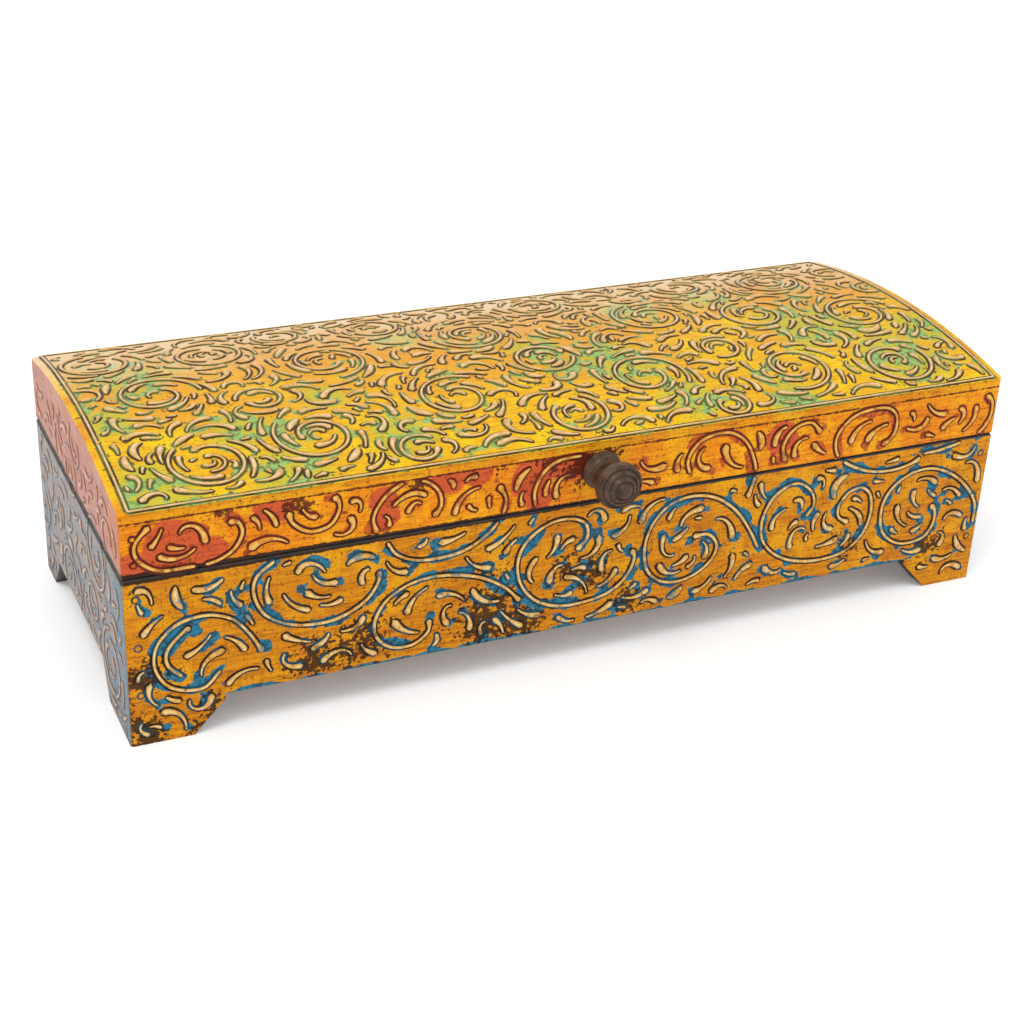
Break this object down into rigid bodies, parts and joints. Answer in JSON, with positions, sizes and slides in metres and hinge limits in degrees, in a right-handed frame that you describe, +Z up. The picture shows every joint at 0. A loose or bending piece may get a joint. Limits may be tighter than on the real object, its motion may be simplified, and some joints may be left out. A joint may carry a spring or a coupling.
{
  "type": "jewelry box",
  "caption": "Long, low painted wooden jewelry box on cut bracket feet, with a shallow domed lid hinged along the back and a turned knob on its front.",
  "frame": {"origin": "middle of the whole footprint, knob included, on the plane its feet stand on", "axes": "+X to the right along the box, +Y from the front to the back, +Z up"},
  "size_m": [0.4, 0.1802, 0.1121],
  "materials": {
    "orange_paint": "painted and varnished, satin",
    "yellow_paint": "painted and varnished, satin",
    "pink_paint": "painted and varnished, satin",
    "grey_paint": "painted and varnished, satin",
    "bare_wood": "sawn, oiled",
    "dark_wood": "turned, waxed",
    "felt": "matte felt",
    "brass": "aged, satin",
    "steel": "dull, darkened"
  },
  "bodies": {
    "case": {"front_panel": "orange_paint", "back_panel": "orange_paint", "left_end_panel": "grey_paint", "right_end_panel": "grey_paint", "floor_board": "bare_wood", "floor_lining": "felt", "case_nails": "steel", "left_hinge_case_leaf": "brass", "right_hinge_case_leaf": "brass", "left_hinge_pin": "brass", "right_hinge_pin": "brass", "case_hinge_screws": "brass"},
    "lid": {"lid_front_rail": "orange_paint", "lid_back_rail": "orange_paint", "lid_left_end": "pink_paint", "lid_right_end": "pink_paint", "lid_top": "yellow_paint", "lid_nails": "steel", "top_brads": "steel", "knob": "dark_wood", "knob_screw": "steel", "left_hinge_lid_leaf": "brass", "right_hinge_lid_leaf": "brass", "lid_hinge_screws": "brass"}
  },
  "joints": [
    {"name": "lid_hinge", "type": "hinge", "parent": "case", "child": "lid", "pos_m": [0, 0.0878, 0.075], "axis": [-1, 0, 0], "range_deg": [0, 100]}
  ]
}
